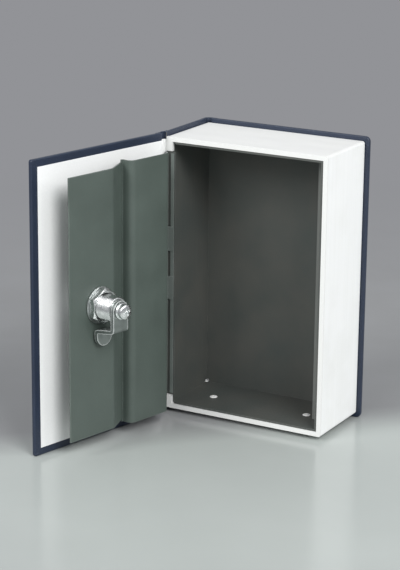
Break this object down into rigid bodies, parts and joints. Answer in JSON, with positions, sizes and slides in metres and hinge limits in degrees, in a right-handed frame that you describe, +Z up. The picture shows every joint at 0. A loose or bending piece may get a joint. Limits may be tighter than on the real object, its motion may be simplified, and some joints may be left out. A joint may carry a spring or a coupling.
{
  "type": "book diversion safe",
  "caption": "Hardcover book case round a page-block shell and a steel tub, shut by a folded steel door with a cam lock in the front cover.",
  "frame": {"origin": "middle of the back cover's tail edge, on the surface that the book stands on", "axes": "+X from the spine to the fore-edge, +Y from the front opening to the back cover, +Z up from tail to head"},
  "size_m": [0.1393, 0.1638, 0.18],
  "materials": {
    "leatherette": "satin",
    "lining_paper": "matte",
    "greyboard": "matte",
    "page_shell": "satin",
    "rivet_plastic": "satin",
    "tub_paint": "satin",
    "door_paint": "satin",
    "hinge_steel": "satin",
    "lock_zinc": "polished",
    "wafer_brass": "satin"
  },
  "bodies": {
    "case": {"back_cover_wrap": "leatherette", "back_board": "greyboard", "back_endpaper": "lining_paper", "spine_wrap": "leatherette", "spine_board": "greyboard", "rear_joint_cloth": "leatherette", "front_joint_cloth": "leatherette", "page_shell": "page_shell", "steel_tub": "tub_paint", "strike_angle": "tub_paint", "floor_rivet_1": "rivet_plastic", "floor_rivet_2": "rivet_plastic", "ceiling_rivet_1": "rivet_plastic", "ceiling_rivet_2": "rivet_plastic", "tub_hinge_leaf": "hinge_steel", "hinge_pin": "hinge_steel"},
    "cover": {"front_cover_wrap": "leatherette", "front_board": "greyboard", "front_lining": "lining_paper", "door_panel": "door_paint", "door_hinge_leaf": "hinge_steel", "door_rivet_1": "hinge_steel", "door_rivet_2": "hinge_steel", "door_rivet_3": "hinge_steel", "lock_housing": "lock_zinc", "lock_washer": "lock_zinc", "lock_nut": "lock_zinc"},
    "lock_rotor": {"lock_plug": "lock_zinc", "wafer_1": "wafer_brass", "wafer_2": "wafer_brass", "wafer_3": "wafer_brass", "wafer_4": "wafer_brass", "wafer_5": "wafer_brass", "cam": "lock_zinc", "cam_screw": "lock_zinc"}
  },
  "joints": [
    {"name": "cover_hinge", "type": "hinge", "parent": "case", "child": "cover", "pos_m": [-0.05633, -0.0544, 0.09], "axis": [0, 0, 1], "range_deg": [-27, 103], "deforming": ["front_joint_cloth"]},
    {"name": "lock_turn", "type": "hinge", "parent": "cover", "child": "lock_rotor", "pos_m": [-0.07297, -0.1265, 0.09], "axis": [-0.9744, 0.225, 0], "range_deg": [0, 90]}
  ]
}
